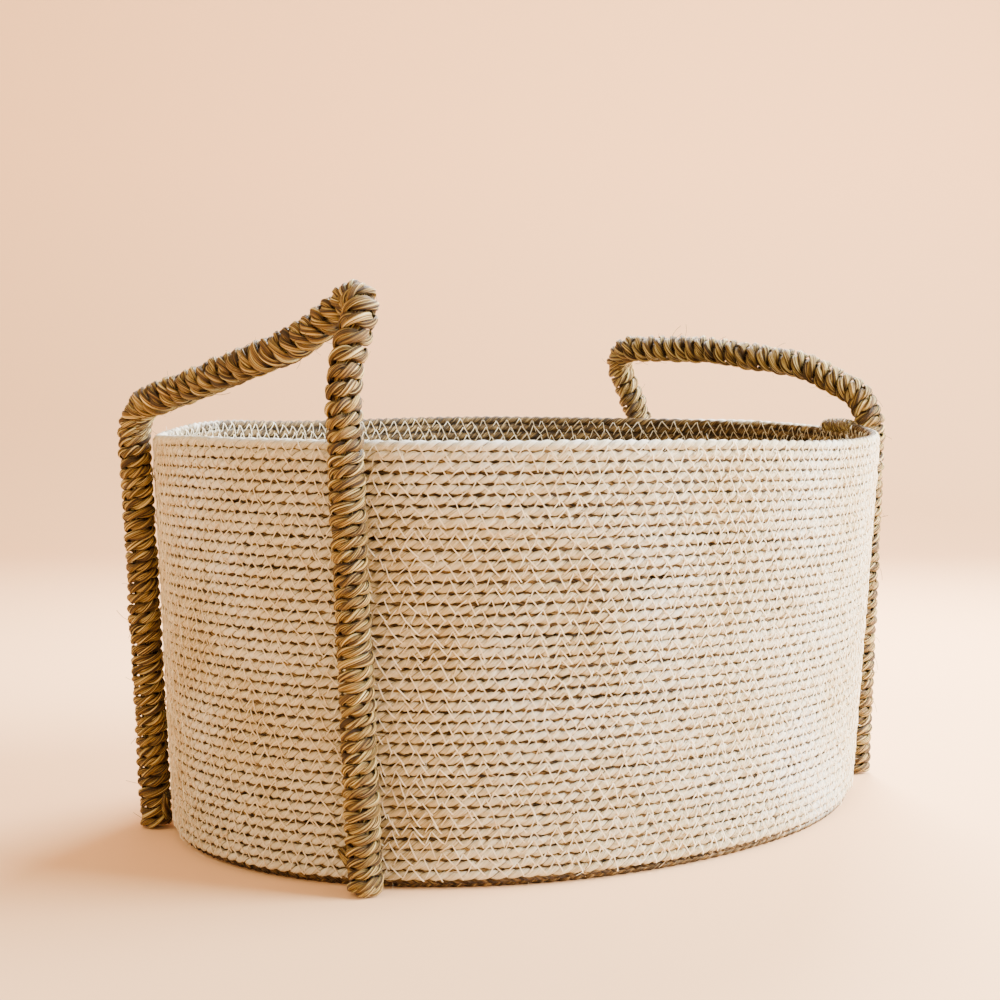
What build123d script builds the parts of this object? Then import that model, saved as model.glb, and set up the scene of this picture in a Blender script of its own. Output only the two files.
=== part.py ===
from build123d import *
import math
import os

# Oval storage basket of coiled and sewn seagrass cord, with two upright wound handles.
# Millimetres. +X runs along the oval, +Z up, and the origin is the middle of the footprint.
# "left" is -X, "right" is +X, "front" is -Y and "back" is +Y.

# Body of the basket, outside sizes
RIM_HEIGHT = 250.0
BASE_LONG = 502.0
BASE_WIDE = 388.0
RIM_LONG = 514.0
RIM_WIDE = 433.0
WALL = 6.5           # thickness of the sewn wall
COURSE = 6.0         # height of one course of cord, and of the base
BASE_ROUND = 8.0     # outside radius where the wall turns under
RIM_ROUND = 2.8      # round on both edges of the top course

# Handles: a soft wire in a grass bundle, wound with cord
LEFT_SPACING = 207.0  # between the two legs of a handle, centre to centre
RIGHT_SPACING = 222.0
GRIP_DIA = 22.0      # outside of the winding
BUNDLE_DIA = 12.0
WIRE_DIA = 4.0
FIT_GAP = 0.2        # round the wire and round the bundle
LEG_GAP = 0.4        # between a leg and the wall
WIRE_FOOT = 12.0     # height of the wire's ends above the floor
CORNER_EASE = 2.5    # room inside a tight corner, past the winding's own radius
ROUND_CORNER = 20.0  # the right arch's taller corner
BEND_RADIUS = 160.0  # gentle bends along the top of an arch
SHOULDER_RADIUS = 10.0

# An arch can be bent outwards at the rim line, and less far inwards
BEND_OUT = 30.0
SWING_GAP = 1.2      # left between the arch's ends and the rim over the whole bend

# Corners of each arch: from the nearer leg's centre towards the other leg, inwards over
# the basket, and up from the rim
LEFT_SHOULDER = (1.0, -1.0, 32.0)
LEFT_TALL = (1.0, 15.0, 84.0)
LEFT_MIDDLE = (50.0, 12.5, 54.5)
LEFT_LOW = (1.5, 1.0, 17.5)
RIGHT_LOW = (8.0, 4.0, 21.0)
RIGHT_RISE = (49.0, 12.5, 41.5)
RIGHT_MIDDLE = (88.0, 21.5, 53.5)
RIGHT_TALL = (-6.0, 26.0, 55.5)

# Ties through the wall, and the tucked ends of the winding cord
TIE_COUNT = 8
TIE_RADIUS = 5.0
TIE_THREAD = 1.6
TIE_LOWEST = 22.0
TIE_HIGHEST = 224.0
TAIL_DIA = 6.0
TAIL_LENGTH = 20.0
TAIL_ROOT = 8.0      # height where it comes out of the winding
TAIL_TIP = 22.0      # height of its free end
TAIL_GAP = 0.8       # between a tail and the wall

# Worked out from the sizes above
GRIP_R = GRIP_DIA / 2
CORNER_RADIUS = GRIP_R + CORNER_EASE
BEND = math.radians(BEND_OUT)
ARCH_START = (GRIP_R * math.sin(BEND) + SWING_GAP) / math.cos(BEND)
OVERSHOOT = 20.0     # how far cutting tools reach past what they cut


def half_axes(height, inset=0.0):
    """Half the length and half the width of the oval at a height, less an inset."""
    share = height / RIM_HEIGHT
    long = BASE_LONG + (RIM_LONG - BASE_LONG) * share
    wide = BASE_WIDE + (RIM_WIDE - BASE_WIDE) * share
    return long / 2 - inset, wide / 2 - inset


def oval(height, inset=0.0):
    a, b = half_axes(height, inset)
    return Plane.XY.offset(height) * Ellipse(a, b)


def oval_body(low, high, inset=0.0):
    return loft([oval(low, inset), oval(high, inset)], ruled=True)


def beside_wall(height, across, offset):
    """The point outside the wall at a height, at a distance across (Y) and off the wall."""
    a, b = half_axes(height)
    low, high = 0.0, math.pi / 2
    for _ in range(50):
        turn = (low + high) / 2
        normal = Vector(b * math.cos(turn), a * math.sin(turn)).normalized()
        point = Vector(a * math.cos(turn), b * math.sin(turn), height) + normal * offset
        if point.Y < abs(across):
            low = turn
        else:
            high = turn
    return Vector(point.X, across, height), Vector(normal.X, math.copysign(normal.Y, across))


def slab(low, high):
    size = 2 * max(RIM_LONG, BASE_LONG, RIM_WIDE, BASE_WIDE)
    return Pos(0, 0, (low + high) / 2) * Box(size, size, high - low)


# ---- basket ----------------------------------------------------------------------------

def shell():
    outside = oval_body(0, RIM_HEIGHT)
    outside = fillet(outside.edges().sort_by(Axis.Z)[0], BASE_ROUND)
    return outside - oval_body(-OVERSHOOT, RIM_HEIGHT + OVERSHOOT, WALL)


def base_coil():
    return oval_body(-OVERSHOOT, RIM_HEIGHT, WALL) & slab(0, COURSE)


def wall_coil():
    return shell() & slab(-OVERSHOOT, RIM_HEIGHT - COURSE)


def rim_coil():
    ring = shell() & slab(RIM_HEIGHT - COURSE, RIM_HEIGHT + OVERSHOOT)
    top = ring.faces().sort_by(Axis.Z)[-1]
    return fillet(top.edges(), RIM_ROUND)


# ---- handles ------------------------------------------------------------------------------

class Handle:
    """Where one handle's pieces go: side is -1 at the left end and 1 at the right."""

    def __init__(self, side, spacing, corners, radii):
        self.side = side
        self.half = spacing / 2
        self.hinge_x = self.leg_point(RIM_HEIGHT, 1).X
        self.corners = corners
        self.radii = radii

    def leg_point(self, height, end):
        point, _ = beside_wall(height, end * self.half, GRIP_R + LEG_GAP)
        return Vector(self.side * point.X, point.Y, height)

    def arch_points(self):
        """The corners between the two points where the legs reach the rim line."""
        points = [self.leg_point(RIM_HEIGHT, -1)]
        for end, (along, inward, rise) in self.corners:
            x = self.hinge_x - self.side * inward
            points.append(Vector(x, end * (self.half - along), RIM_HEIGHT + rise))
        return [*points, self.leg_point(RIM_HEIGHT, 1)]

    def arch_path(self):
        return FilletPolyline(*self.arch_points(), radius=self.radii)

    def wire_path(self):
        feet = [self.leg_point(WIRE_FOOT, end) for end in (-1, 1)]
        radii = [SHOULDER_RADIUS, *self.radii, SHOULDER_RADIUS]
        return FilletPolyline(feet[0], *self.arch_points(), feet[1], radius=radii)

    def wire(self):
        return rod(self.wire_path(), WIRE_DIA)

    def leg(self, end, diameter, bore):
        """A leg's sleeve from the floor to the rim line."""
        low = self.leg_point(0, end)
        high = self.leg_point(RIM_HEIGHT, end)
        along = (high - low).normalized()
        path = Line(low - along * OVERSHOOT, high + along * OVERSHOOT)
        return (rod(path, diameter) - rod(path, bore)) & slab(0, RIM_HEIGHT)

    def arch(self, diameter, bore):
        path = self.arch_path()
        above_rim = slab(RIM_HEIGHT + ARCH_START, 2 * RIM_HEIGHT)
        return (rod(path, diameter) - rod(path, bore)) & above_rim

    def lashing(self, end):
        """Loops of thread that pass through the wall and the back of the winding."""
        step = (TIE_HIGHEST - TIE_LOWEST) / (TIE_COUNT - 1)
        ties = []
        for count in range(TIE_COUNT):
            height = TIE_LOWEST + count * step
            centre, normal = beside_wall(height, end * self.half, GRIP_R + LEG_GAP)
            point = centre - normal * (GRIP_R + LEG_GAP + WALL / 2)
            place = Vector(self.side * point.X, point.Y, height)
            sideways = Vector(-self.side * normal.Y, normal.X, 0)
            ties.append(Plane(place, z_dir=sideways) * Torus(TIE_RADIUS, TIE_THREAD / 2))
        return Compound(children=ties)

    def tail(self, end):
        """The winding cord's end, turned up beside the foot, between the two legs."""
        offset = TAIL_DIA / 2 + TAIL_GAP
        inner = self.half - GRIP_R + TAIL_DIA / 3
        outer = inner - math.sqrt(TAIL_LENGTH**2 - (TAIL_TIP - TAIL_ROOT)**2)
        start, _ = beside_wall(TAIL_ROOT, end * inner, offset)
        finish, _ = beside_wall(TAIL_TIP, end * outer, offset)
        start = Vector(self.side * start.X, start.Y, start.Z)
        finish = Vector(self.side * finish.X, finish.Y, finish.Z)
        body = rod(Line(start, finish), TAIL_DIA)
        return body + Pos(start) * Sphere(TAIL_DIA / 2) + Pos(finish) * Sphere(TAIL_DIA / 2)


def rod(path, diameter):
    section = Plane(path @ 0, z_dir=path % 0) * Circle(diameter / 2)
    return sweep(section, path=path)


def left_handle():
    front, back = -1, 1
    corners = [(front, LEFT_SHOULDER), (front, LEFT_TALL), (front, LEFT_MIDDLE), (back, LEFT_LOW)]
    radii = [BEND_RADIUS / 2, CORNER_RADIUS, BEND_RADIUS, CORNER_RADIUS]
    return Handle(-1, LEFT_SPACING, corners, radii)


def right_handle():
    front, back = -1, 1
    corners = [(front, RIGHT_LOW), (front, RIGHT_RISE), (back, RIGHT_MIDDLE), (back, RIGHT_TALL)]
    radii = [CORNER_RADIUS, BEND_RADIUS / 2, BEND_RADIUS, ROUND_CORNER]
    return Handle(1, RIGHT_SPACING, corners, radii)


def handle_nodes(name, handle):
    bundle_bore = WIRE_DIA + 2 * FIT_GAP
    winding_bore = BUNDLE_DIA + 2 * FIT_GAP
    nodes = {f"{name}_handle_wire": handle.wire(),
             f"{name}_arch_bundle": handle.arch(BUNDLE_DIA, bundle_bore),
             f"{name}_arch_winding": handle.arch(GRIP_DIA, winding_bore)}
    for where, end in (("front", -1), ("back", 1)):
        leg = f"{name}_{where}"
        nodes[f"{leg}_leg_bundle"] = handle.leg(end, BUNDLE_DIA, bundle_bore)
        nodes[f"{leg}_leg_winding"] = handle.leg(end, GRIP_DIA, winding_bore)
        nodes[f"{leg}_lashing"] = handle.lashing(end)
        nodes[f"{leg}_cord_tail"] = handle.tail(end)
    return nodes


parts = {"base_coil": base_coil(), "wall_coil": wall_coil(), "rim_coil": rim_coil()}
parts.update(handle_nodes("left", left_handle()))
parts.update(handle_nodes("right", right_handle()))

os.makedirs("parts", exist_ok=True)
for node, shape in parts.items():
    export_step(shape, f"parts/{node}.step")

for name, handle in (("left", left_handle()), ("right", right_handle())):
    print(name, "hinge line at x", round(handle.hinge_x, 2), "z", RIM_HEIGHT)
    wire = handle.wire()
    print("  wire volume", round(wire.volume, 1), "section times length",
          round(math.pi * WIRE_DIA**2 / 4 * handle.wire_path().length, 1))
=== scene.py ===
# %% [markdown]
# # A seagrass storage basket
# The real basket is one long rope. Seagrass is twisted into a two-ply cord, and the cord is laid
# in a spiral and sewn to the turn below it, first flat for the base and then upwards for the
# wall. Two handles of wound cord stand at the ends of the oval. This file builds that basket the
# way it is made: a few routes, and cord, thread and windings that follow them.
#
# The CAD model comes first. It fixes every size and place, and what is made here stands in for
# its plain solids.

# %% Load the CAD frame
import math
import bpy
import numpy as np
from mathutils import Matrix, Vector


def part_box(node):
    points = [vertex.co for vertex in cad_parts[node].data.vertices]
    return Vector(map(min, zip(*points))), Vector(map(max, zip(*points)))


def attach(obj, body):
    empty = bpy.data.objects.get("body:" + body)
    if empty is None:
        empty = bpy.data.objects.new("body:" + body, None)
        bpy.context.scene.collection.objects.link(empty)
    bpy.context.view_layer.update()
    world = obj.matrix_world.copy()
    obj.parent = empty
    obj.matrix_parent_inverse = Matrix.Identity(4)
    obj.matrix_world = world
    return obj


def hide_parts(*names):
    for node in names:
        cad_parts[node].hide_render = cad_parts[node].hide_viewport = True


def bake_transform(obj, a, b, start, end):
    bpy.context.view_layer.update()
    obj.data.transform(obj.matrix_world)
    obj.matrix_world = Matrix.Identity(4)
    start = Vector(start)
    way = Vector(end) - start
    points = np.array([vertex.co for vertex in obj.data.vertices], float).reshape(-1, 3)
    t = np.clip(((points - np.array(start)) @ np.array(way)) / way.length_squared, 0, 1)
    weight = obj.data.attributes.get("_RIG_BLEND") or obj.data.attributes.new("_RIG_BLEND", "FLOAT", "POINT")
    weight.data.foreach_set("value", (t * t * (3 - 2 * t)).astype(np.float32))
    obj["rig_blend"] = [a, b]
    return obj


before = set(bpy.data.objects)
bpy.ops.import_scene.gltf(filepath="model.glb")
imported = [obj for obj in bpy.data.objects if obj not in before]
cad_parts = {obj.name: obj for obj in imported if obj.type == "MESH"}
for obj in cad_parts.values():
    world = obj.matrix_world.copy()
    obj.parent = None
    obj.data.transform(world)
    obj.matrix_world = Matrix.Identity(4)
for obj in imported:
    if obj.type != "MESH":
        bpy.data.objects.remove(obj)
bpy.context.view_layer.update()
scene = bpy.context.scene

# %% [markdown]
# ## Sizes
# The oval's half lengths are read from the CAD nodes, so the cords always fit the solids that
# they stand for. Only what CAD leaves out is written here: how thick a cord is, how it is
# twisted, and how far apart the stitches are.
#
# The oval is a little wider at the rim than at the floor, so its half lengths change with height.

# %% Read the basket's sizes from its CAD nodes
MM = 0.001
COURSE = 6.0 * MM          # height of one turn of the wall
WALL = 6.5 * MM            # thickness of the wall
GRIP = 11.0 * MM           # radius over the winding of a leg

rim_top, base_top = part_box("rim_coil")[1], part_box("base_coil")[1]
HEIGHT = rim_top[2]
BASE_AXES = np.array([base_top[0] + WALL, base_top[1] + WALL])
RIM_AXES = np.array([rim_top[0], rim_top[1]])
print("height", round(HEIGHT, 4), "half lengths", BASE_AXES.round(4), "to", RIM_AXES.round(4))


def half_axes(height, inset=0.0):
    """Half the length and half the width of the wall's outside at a height."""
    share = np.asarray(height)[..., None] / HEIGHT
    return BASE_AXES + (RIM_AXES - BASE_AXES) * share - inset

# %% [markdown]
# ## Arithmetic on node sockets
# Node trees, for geometry and for materials alike, are mostly arithmetic. A small class wraps a
# socket so that `1 - mask` or `wave * 0.5` adds the Math node it needs. Colours and vectors have
# methods of their own, because a Math node would turn them into one number. Every other node
# comes from `node`, which takes its type, its settings and what goes into its sockets.

# %% A socket that can be calculated with
def plug(tree, socket, value):
    if isinstance(value, Field):
        tree.links.new(value.socket, socket)
    elif value is not None:
        socket.default_value = value


class Field:
    """One output socket of a node tree, with the operators that this file uses."""

    def __init__(self, tree, socket):
        self.tree = tree
        self.socket = socket

    def math(self, operation, *values, **settings):
        node = self.tree.nodes.new("ShaderNodeMath")
        node.operation = operation
        node.use_clamp = settings.get("clamp", False)
        for socket, value in zip(node.inputs, values):
            plug(self.tree, socket, value)
        return Field(self.tree, node.outputs[0])

    def __add__(self, other):
        return self.math("ADD", self, other)

    def __sub__(self, other):
        return self.math("SUBTRACT", self, other)

    def __rsub__(self, other):
        return self.math("SUBTRACT", other, self)

    def __mul__(self, other):
        return self.math("MULTIPLY", self, other)

    def __truediv__(self, other):
        return self.math("DIVIDE", self, other)

    __radd__ = __add__
    __rmul__ = __mul__

    def sin(self):
        return self.math("SINE", self)

    def cos(self):
        return self.math("COSINE", self)

    def abs(self):
        return self.math("ABSOLUTE", self)

    def ramp(self, low, high):
        """0 below low, 1 above high, and straight between them."""
        return self.math("MULTIPLY", self - low, 1 / (high - low), clamp=True)

    def vector(self, operation, *values, out=0):
        node = self.tree.nodes.new("ShaderNodeVectorMath")
        node.operation = operation
        plug(self.tree, node.inputs[0], self)
        for socket, value in zip(node.inputs[1:], values):
            plug(self.tree, socket, value)
        return Field(self.tree, node.outputs[out])

    def plus(self, other):
        return self.vector("ADD", other)

    def minus(self, other):
        return self.vector("SUBTRACT", other)

    def times(self, other):
        return self.vector("MULTIPLY", other)

    def dot(self, other):
        return self.vector("DOT_PRODUCT", other, out=1)

    def scale(self, number):
        node = self.tree.nodes.new("ShaderNodeVectorMath")
        node.operation = "SCALE"
        plug(self.tree, node.inputs[0], self)
        plug(self.tree, node.inputs["Scale"], number)
        return Field(self.tree, node.outputs[0])


class Graph:
    """A node tree that is built with Field arithmetic and one method for any other node."""

    def __init__(self, tree):
        self.tree = tree

    def node(self, kind, inputs=None, out=0, **settings):
        """Add a node. Settings are set first, then each input by its name or number."""
        made = self.tree.nodes.new(kind)
        stops = settings.pop("stops", None)
        for key, value in settings.items():
            setattr(made, key, value)
        if stops:
            self.fill_ramp(made.color_ramp, stops)
        live = {socket.name: socket for socket in reversed(made.inputs) if socket.enabled}
        for key, value in (inputs or {}).items():
            plug(self.tree, made.inputs[key] if isinstance(key, int) else live[key], value)
        outputs = [socket for socket in made.outputs if socket.enabled]
        return Field(self.tree, outputs[out])

    @staticmethod
    def fill_ramp(ramp, stops):
        while len(ramp.elements) < len(stops):
            ramp.elements.new(1.0)
        for element, (place, colour) in zip(ramp.elements, stops):
            element.position = place
            element.color = (*colour, 1.0)

    def attribute(self, name, kind="FLOAT"):
        """A named attribute, inside a Geometry Nodes tree."""
        return self.node("GeometryNodeInputNamedAttribute", {"Name": name}, data_type=kind)

    def store(self, geometry, name, value, kind="FLOAT"):
        inputs = {"Geometry": geometry, "Name": name, "Value": value}
        return self.node("GeometryNodeStoreNamedAttribute", inputs, data_type=kind, domain="POINT")

    def xyz(self, x, y, z):
        return self.node("ShaderNodeCombineXYZ", {"X": x, "Y": y, "Z": z})

# %% [markdown]
# ## From a route to a mesh
# A route is a line of points, and each point carries what the cord needs to know there: which way
# is out of the surface, which way is sideways, how far along it lies, and how thick the cord is.
# Plain edges with attributes hold all of that, and numpy works it out quickly.

# %% A route as a mesh of edges
def unit(vectors):
    return vectors / np.linalg.norm(vectors, axis=-1, keepdims=True)


def line_mesh(name, points, cuts=(), **attributes):
    """A mesh of edges through the points, broken after each index in cuts."""
    mesh = bpy.data.meshes.new(name)
    edges = np.stack([np.arange(len(points) - 1), np.arange(1, len(points))], axis=1)
    if len(cuts):
        edges = np.delete(edges, np.asarray(cuts), axis=0)
    mesh.from_pydata(points.tolist(), edges.tolist(), [])
    for key, values in attributes.items():
        values = np.asarray(values, dtype=np.float32)
        kind, field = ("FLOAT", "value") if values.ndim == 1 else ("FLOAT_VECTOR", "vector")
        layer = mesh.attributes.new(key, kind, "POINT")
        layer.data.foreach_set(field, values.ravel())
    return mesh

# %% [markdown]
# The same few Geometry Nodes trees then serve every route. `new_tree` names a tree's inputs, and
# `finish_tree` turns its instances into real geometry. `grow` runs a tree on a route and keeps
# only the finished mesh, so nothing is left to be worked out later.

# %% Trees, and running one on a route
def new_tree(name, **inputs):
    """A Geometry Nodes tree with one geometry input and the named inputs, all with defaults."""
    kinds = {float: "NodeSocketFloat", int: "NodeSocketInt", str: "NodeSocketMaterial"}
    tree = bpy.data.node_groups.new(name, "GeometryNodeTree")
    tree.is_modifier = True
    tree.interface.new_socket("Geometry", in_out="INPUT", socket_type="NodeSocketGeometry")
    for key, value in inputs.items():
        label = key.replace("_", " ")
        socket = tree.interface.new_socket(label, in_out="INPUT", socket_type=kinds[type(value)])
        if type(value) is not str:
            socket.default_value = value
    tree.interface.new_socket("Geometry", in_out="OUTPUT", socket_type="NodeSocketGeometry")
    graph = Graph(tree)
    source = tree.nodes.new("NodeGroupInput")
    fields = {socket.name: Field(tree, socket) for socket in source.outputs if socket.name}
    return graph, fields


def finish_tree(graph, geometry, material):
    """Every tree ends the same way: real geometry, smooth, with its material."""
    geometry = graph.node("GeometryNodeRealizeInstances", {"Geometry": geometry})
    geometry = graph.node("GeometryNodeSetShadeSmooth", {"Geometry": geometry})
    geometry = graph.node("GeometryNodeSetMaterial", {"Geometry": geometry, "Material": material})
    sink = graph.tree.nodes.new("NodeGroupOutput")
    plug(graph.tree, sink.inputs[0], geometry)
    return graph.tree


# what only the trees read, and a finished mesh doesn't keep
SCAFFOLD = {"out", "side", "along", "size", "heart", "turn", "radius", "tilt", "phase"}


def grow(name, mesh, tree, **values):
    """Run a tree on a route and return a plain mesh object, with the modifier gone."""
    piece = bpy.data.objects.new(name, mesh)
    scene.collection.objects.link(piece)
    modifier = piece.modifiers.new("grow", "NODES")
    modifier.node_group = tree
    for item in tree.interface.items_tree:
        key = item.name.replace(" ", "_")
        if item.in_out == "INPUT" and key in values:
            modifier[item.identifier] = values[key]
    depsgraph = bpy.context.evaluated_depsgraph_get()
    made = bpy.data.meshes.new_from_object(piece.evaluated_get(depsgraph))
    piece.modifiers.remove(modifier)
    piece.data = made
    made.name = name
    for layer in [layer.name for layer in made.attributes]:
        if layer in SCAFFOLD:
            made.attributes.remove(made.attributes[layer])
    triangles = sum(len(face.vertices) - 2 for face in made.polygons)
    print(f"{name}: {triangles} triangles")
    return piece

# %% [markdown]
# ## Laid cord
# A cord is plies twisted round each other. The tree copies the route once for each ply, moves the
# copies off the centre, and turns them as they run along. A ply isn't round either: it is a bundle
# of grass blades, so its section has lobes, and the section turns with the twist. Setting the
# curve's normals freely, from the route's own directions, makes that turning exact.
#
# Two attributes go to the material. `grain` runs along the blades, so that streaks follow the
# twist. `crest` says how far out of the surface a point stands, so that paint can sit on the tops,
# the hollows can stay bare, and the hollows and undersides can be painted darker as shade.

# %% The tree for laid cord
def laid_cord_tree():
    graph, given = new_tree(
        "laid cord", Plies=1, Ply_Offset=0.0, Twist_Length=0.016, Ply_Radius=0.003, Sides=12,
        Lobes=2.0, Lobe_Depth=0.25, Lobe_Length=0.016, Flatness=1.0, Material="")
    node = graph.node
    out, side = graph.attribute("out", "FLOAT_VECTOR"), graph.attribute("side", "FLOAT_VECTOR")
    along, size = graph.attribute("along"), graph.attribute("size")
    place = node("GeometryNodeInputPosition")
    tau = 2 * math.pi

    # one copy of the route for each ply, wound round the route
    curve = node("GeometryNodeMeshToCurve", {"Mesh": given["Geometry"]})
    curve = graph.store(curve, "heart", place, "FLOAT_VECTOR")
    inputs = {"Geometry": curve, "Amount": given["Plies"]}
    curve = node("GeometryNodeDuplicateElements", inputs, domain="SPLINE")
    ply = Field(graph.tree, curve.socket.node.outputs["Duplicate Index"])
    curve = graph.store(curve, "phase", ply)
    phase = graph.attribute("phase")

    angle = (along / given["Twist Length"] + phase / given["Plies"]) * tau
    swing = out.scale(angle.cos()).plus(side.scale(angle.sin()))
    offset = swing.scale(given["Ply Offset"] * size)
    curve = node("GeometryNodeSetPosition", {"Geometry": curve, "Offset": offset})
    roll = (along / given["Lobe Length"] + phase * 0.37) * tau
    normal = out.scale(roll.cos()).plus(side.scale(roll.sin()))
    curve = node("GeometryNodeSetCurveNormal", {"Curve": curve, "Normal": normal}, mode="FREE")

    # the ply's section: a circle with lobes pressed into it
    index = node("GeometryNodeInputIndex")
    turn = index / given["Sides"] * tau
    ring = {"Resolution": given["Sides"], "Radius": given["Ply Radius"]}
    profile = node("GeometryNodeCurvePrimitiveCircle", ring, mode="RADIUS")
    around = graph.xyz(0.0, turn.cos(), turn.sin())
    profile = graph.store(profile, "turn", around, "FLOAT_VECTOR")
    lobe = 1 - given["Lobe Depth"] * (1 - (turn * given["Lobes"] * 0.5).sin().abs())
    profile = node("GeometryNodeSetPosition", {"Geometry": profile, "Position": place.scale(lobe)})

    # the swept plies, pressed flat, with what the materials read
    sweep = {"Curve": curve, "Profile Curve": profile, "Scale": size, "Fill Caps": True}
    mesh = node("GeometryNodeCurveToMesh", sweep)
    heart = graph.attribute("heart", "FLOAT_VECTOR")
    reach = place.minus(heart).dot(out)
    wide = size.math("MAXIMUM", size, 1.0)
    squeeze = out.scale(reach * (given["Flatness"] / wide - 1))
    mesh = node("GeometryNodeSetPosition", {"Geometry": mesh, "Offset": squeeze})
    crest = reach / (given["Ply Radius"] + given["Ply Offset"])
    mesh = graph.store(mesh, "crest", crest)
    grain = graph.attribute("turn", "FLOAT_VECTOR").plus(graph.xyz(along + phase * 3.7, 0.0, 0.0))
    mesh = graph.store(mesh, "grain", grain, "FLOAT_VECTOR")
    return finish_tree(graph, mesh, given["Material"])


LAID_CORD = laid_cord_tree()
print(LAID_CORD.name, "tree:", len(LAID_CORD.nodes), "nodes")

# %% [markdown]
# ## Sewing thread
# Each turn is sewn to the one below with a thread that zigzags across the groove between them.
# Each stroke of it stands a little proud of the cords and dives in between them at its ends. It
# is less than a millimetre thick, so three sides are enough.

# %% One stroke of thread
DIVE = 0.9 * MM            # how far a thread's ends go in between the cords


def strand(graph, corners, radius):
    """A short strand through a few corners, round enough at a distance with three sides."""
    line = graph.node("GeometryNodeMeshLine", {"Count": len(corners)}, mode="OFFSET")
    index = graph.node("GeometryNodeInputIndex")
    pick = graph.xyz(*corners[0])
    for number, (before, corner) in enumerate(zip(corners, corners[1:])):
        past = index.math("GREATER_THAN", index, number + 0.5)
        step = [float(there - here) for here, there in zip(before, corner)]
        pick = pick.plus(graph.xyz(*step).scale(past))
    line = graph.node("GeometryNodeSetPosition", {"Geometry": line, "Position": pick})
    curve = graph.node("GeometryNodeMeshToCurve", {"Mesh": line})
    ring = {"Resolution": 3, "Radius": radius}
    profile = graph.node("GeometryNodeCurvePrimitiveCircle", ring, mode="RADIUS")
    inputs = {"Curve": curve, "Profile Curve": profile, "Fill Caps": True}
    return graph.node("GeometryNodeCurveToMesh", inputs)


def stroke(graph, start, finish, lift, radius):
    """One stroke of thread that comes out at start, lies on the cords and goes in at finish."""
    (x, y), (u, v) = start, finish
    corners = [(x, y, -DIVE), (x + (u - x) * 0.2, y + (v - y) * 0.2, lift),
               (x + (u - x) * 0.8, y + (v - y) * 0.8, lift), (u, v, -DIVE)]
    return strand(graph, corners, radius)

# %% [markdown]
# The tree walks along the groove, sets down a V of two strokes at every stitch, and lays each V
# flat on the wall with the route's own directions. A fixed seed shifts, turns and stretches each
# stitch, because a hand never makes two alike.

# %% The tree for zigzag stitches
def random_between(graph, low, high, seed):
    inputs = {"Min": low, "Max": high, "Seed": seed}
    kind = "FLOAT_VECTOR" if isinstance(low, tuple) else "FLOAT"
    return graph.node("FunctionNodeRandomValue", inputs, data_type=kind)


STITCH = 11.6 * MM         # from one stitch to the next on the wall's outside


def zigzag_tree():
    graph, given = new_tree("zigzag stitches", Spacing=STITCH, Thread=0.5 * MM, Stretch=1.0, Seed=3,
                            Material="")
    node, seed = graph.node, given["Seed"]
    curve = node("GeometryNodeMeshToCurve", {"Mesh": given["Geometry"]})
    inputs = {"Curve": curve, "Length": given["Spacing"]}
    curve = node("GeometryNodeResampleCurve", inputs, mode="LENGTH")
    out, side = graph.attribute("out", "FLOAT_VECTOR"), graph.attribute("side", "FLOAT_VECTOR")
    inputs = {"Primary Axis": out, "Secondary Axis": side}
    lie = node("FunctionNodeAxesToRotation", inputs, primary_axis="Z", secondary_axis="Y")
    turn = random_between(graph, (-0.05, -0.05, -0.22), (0.05, 0.05, 0.22), seed)
    turn = node("FunctionNodeEulerToRotation", {"Euler": turn})
    lie = node("FunctionNodeRotateRotation", {"Rotation": lie, "Rotate By": turn}, rotation_space="LOCAL")
    shift = random_between(graph, (-0.0012,) * 3, (0.0012,) * 3, seed + 1)
    shift = shift.minus(out.scale(shift.dot(out)))
    curve = node("GeometryNodeSetPosition", {"Geometry": curve, "Offset": shift})
    size = random_between(graph, (0.8, 0.86, 0.9), (1.2, 1.12, 1.05), seed + 2)
    # in the stitch's own x and y: a long stroke down one way and a short one down the other
    long = stroke(graph, (0, 3.6 * MM), (5.4 * MM, -5.0 * MM), 0.5 * MM, given["Thread"])
    short = stroke(graph, (-0.3 * MM, 3.5 * MM), (-4.7 * MM, -2.8 * MM), 0.4 * MM, given["Thread"] * 0.9)
    pair = node("GeometryNodeJoinGeometry", {"Geometry": long})
    graph.tree.links.new(short.socket, pair.socket.node.inputs[0])
    size = size.times(graph.xyz(given["Stretch"], 1.0, 1.0))
    inputs = {"Points": curve, "Instance": pair, "Rotation": lie, "Scale": size}
    stitches = node("GeometryNodeInstanceOnPoints", inputs)
    return finish_tree(graph, stitches, given["Material"])


ZIGZAG = zigzag_tree()
print(ZIGZAG.name, "tree:", len(ZIGZAG.nodes), "nodes")

# %% [markdown]
# ## Finishes
# Seagrass is a dry, slightly waxy blade. Its colour runs from straw through ochre to a dark brown,
# in streaks along the blade, with an olive tint where it dried slowly. The materials read `grain`,
# so their streaks and their fine ridges follow the twist of every cord.

# %% Bare seagrass
def new_material(name):
    material = bpy.data.materials.new(name)
    material.use_nodes = True
    material.node_tree.nodes.clear()
    graph = Graph(material.node_tree)
    shader = material.node_tree.nodes.new("ShaderNodeBsdfPrincipled")
    output = material.node_tree.nodes.new("ShaderNodeOutputMaterial")
    material.node_tree.links.new(shader.outputs[0], output.inputs["Surface"])
    return material, graph, shader


def noise(graph, vector, scale, detail=2.0, rough=0.5):
    inputs = {"Vector": vector, "Scale": scale, "Detail": detail, "Roughness": rough}
    return graph.node("ShaderNodeTexNoise", inputs)


def mix(graph, factor, a, b, blend="MIX"):
    inputs = {"Factor": factor, "A": a, "B": b}
    return graph.node("ShaderNodeMix", inputs, data_type="RGBA", blend_type=blend)


def rgb(red, green, blue):
    return (red, green, blue, 1.0)


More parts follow.
